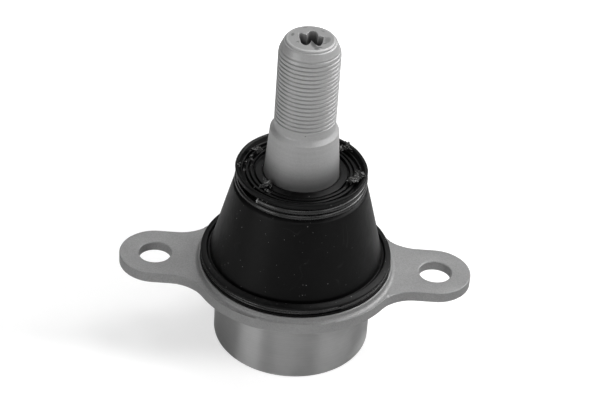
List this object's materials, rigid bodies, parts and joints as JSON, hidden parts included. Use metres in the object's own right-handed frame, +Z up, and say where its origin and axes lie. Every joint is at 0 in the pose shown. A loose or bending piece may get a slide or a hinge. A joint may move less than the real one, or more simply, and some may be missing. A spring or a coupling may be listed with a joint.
{
  "type": "suspension ball joint",
  "caption": "Suspension ball joint with a round barrel, a two-eared bolt flange, a tapered threaded ball stud with a six-lobed drive and a conical rubber dust boot.",
  "frame": {"origin": "centre of the ball, on the axis of the barrel", "axes": "+Z up along the stud at rest, X through the two bolt holes"},
  "size_m": [0.1188, 0.0668, 0.1168],
  "materials": {
    "housing_steel": "blasted and machined",
    "stud_steel": "satin",
    "plate_steel": "pressed sheet",
    "spring_steel": "black oxide",
    "boot_rubber": "semi-gloss",
    "seal_rubber": "matt",
    "seat_plastic": "natural acetal"
  },
  "bodies": {
    "housing": {"housing": "housing_steel", "cover_plate": "plate_steel", "cover_seal": "seal_rubber", "disc_spring": "spring_steel", "dust_boot": "boot_rubber", "lower_clamp_ring": "spring_steel"},
    "seat": {"lower_bearing_shell": "seat_plastic", "upper_bearing_shell": "seat_plastic"},
    "collar": {"support_ring": "plate_steel", "upper_clamp_ring": "spring_steel"},
    "stud": {"ball_stud": "stud_steel", "slide_sleeve": "plate_steel"}
  },
  "joints": [
    {"name": "seat_turn", "type": "hinge", "parent": "housing", "child": "seat", "pos_m": [0, 0, 0], "axis": [0, 0, 1], "continuous": true},
    {"name": "stud_swing", "type": "hinge", "parent": "seat", "child": "collar", "pos_m": [0, 0, 0], "axis": [0, 1, 0], "range_deg": [-22, 22], "deforming": ["dust_boot"]},
    {"name": "stud_spin", "type": "hinge", "parent": "collar", "child": "stud", "pos_m": [0, 0, 0], "axis": [0, 0, 1], "continuous": true}
  ]
}
